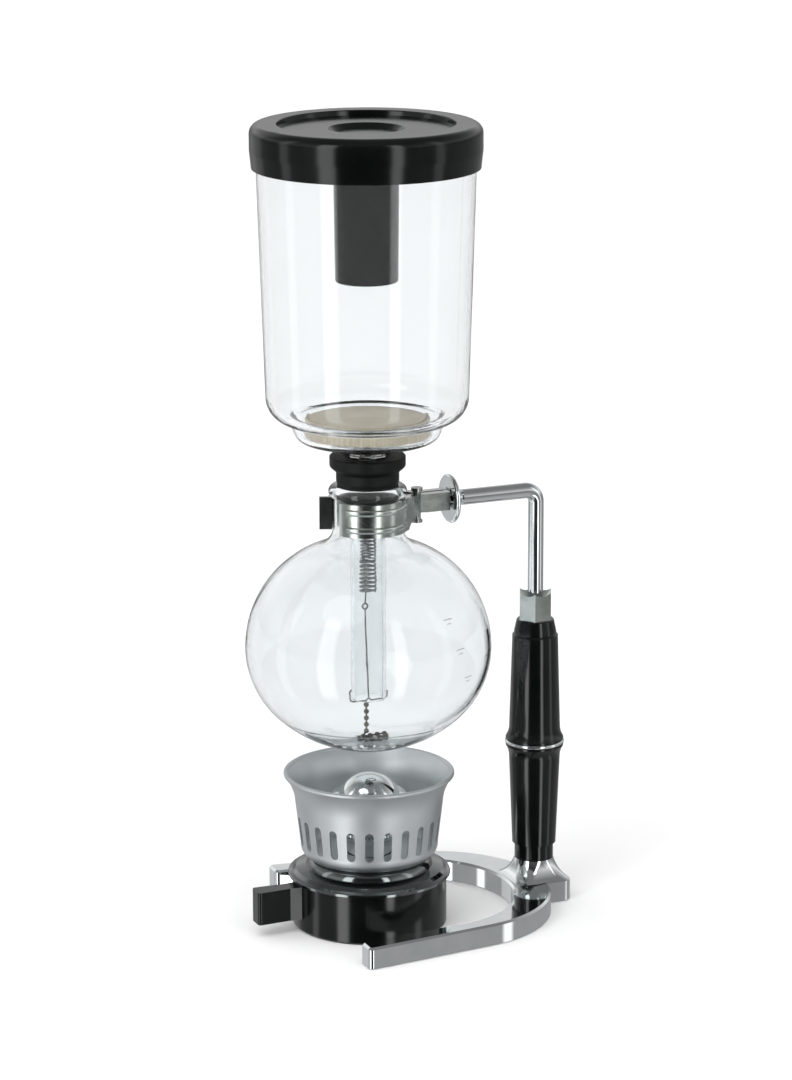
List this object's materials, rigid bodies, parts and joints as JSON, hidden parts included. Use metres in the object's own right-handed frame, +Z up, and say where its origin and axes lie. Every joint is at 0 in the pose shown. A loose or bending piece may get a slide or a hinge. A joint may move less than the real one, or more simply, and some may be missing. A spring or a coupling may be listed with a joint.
{
  "type": "siphon coffee maker",
  "caption": "Vacuum siphon coffee maker: clamped round glass bowl, glass upper chamber with cloth filter and lid, chrome horseshoe stand and spirit burner.",
  "frame": {"origin": "centre of the burner's flat underside, on the common vertical axis of both glass chambers, at table height", "axes": "+Z up along that axis; +X from it towards the handle post; the open end of the horseshoe base and the burner's handle face -X"},
  "size_m": [0.1572, 0.1274, 0.378],
  "materials": {
    "gloss_black": "gloss",
    "black_rubber": "matte",
    "clear_glass": "clear",
    "chrome": "mirror",
    "bright_steel": "bright",
    "satin_aluminium": "satin",
    "filter_cloth": "brushed cotton",
    "wick_cotton": "braided cotton"
  },
  "bodies": {
    "stand": {"base_frame": "chrome", "base_pads": "black_rubber", "base_nut": "bright_steel", "support_rod": "chrome", "handle_collar": "chrome", "handle_upper_grip": "gloss_black", "handle_ring": "chrome", "handle_lower_grip": "gloss_black", "arm_stud": "bright_steel", "clamp_front_jaw": "chrome", "clamp_pin": "bright_steel", "lower_bowl": "clear_glass"},
    "rear_jaw": {"clamp_rear_jaw": "chrome"},
    "lock_nut": {"lock_nut": "chrome"},
    "upper_chamber": {"upper_bowl": "clear_glass", "rubber_stopper": "black_rubber", "filter_spring": "bright_steel", "filter_wire": "bright_steel", "filter_hook": "bright_steel", "bead_chain": "bright_steel"},
    "filter": {"filter_cloth": "filter_cloth", "filter_lower_plate": "bright_steel", "filter_upper_plate": "bright_steel", "filter_bolt": "bright_steel"},
    "lid": {"lid_cap": "gloss_black", "lid_stand_tube": "gloss_black"},
    "burner": {"burner_housing": "gloss_black", "burner_cover": "chrome", "fuel_tank": "bright_steel", "wick_holder": "chrome", "wick": "wick_cotton", "windshield": "satin_aluminium"},
    "snuffer": {"snuffer_cap": "chrome"}
  },
  "joints": [
    {"name": "upper_chamber_lift", "type": "slide", "parent": "stand", "child": "upper_chamber", "axis": [0, 0, 1], "range_m": [0, 0.13]},
    {"name": "lid_lift", "type": "slide", "parent": "upper_chamber", "child": "lid", "axis": [0, 0, 1], "range_m": [0, 0.08]},
    {"name": "filter_lift", "type": "slide", "parent": "upper_chamber", "child": "filter", "axis": [0, 0, 1], "range_m": [0, 0.006], "stiffness_N_per_m": 300, "springref_m": -0.012, "deforming": ["filter_spring"]},
    {"name": "burner_slide", "type": "slide", "parent": "stand", "child": "burner", "axis": [-1, 0, 0], "range_m": [0, 0.16]},
    {"name": "snuffer_lift", "type": "slide", "parent": "burner", "child": "snuffer", "axis": [0, 0, 1], "range_m": [0, 0.012]},
    {"name": "lock_nut_turn", "type": "hinge", "parent": "stand", "child": "lock_nut", "pos_m": [0.0411, 0, 0.2005], "axis": [1, 0, 0], "range_deg": [0, 540]},
    {"name": "rear_jaw_swing", "type": "hinge", "parent": "stand", "child": "rear_jaw", "pos_m": [0.0245, 0, 0.198], "axis": [0, 0, -1], "range_deg": [0, 4]}
  ],
  "couplings": [
    {"joint": "rear_jaw_swing", "follows": "lock_nut_turn", "ratio": 0.0074}
  ]
}
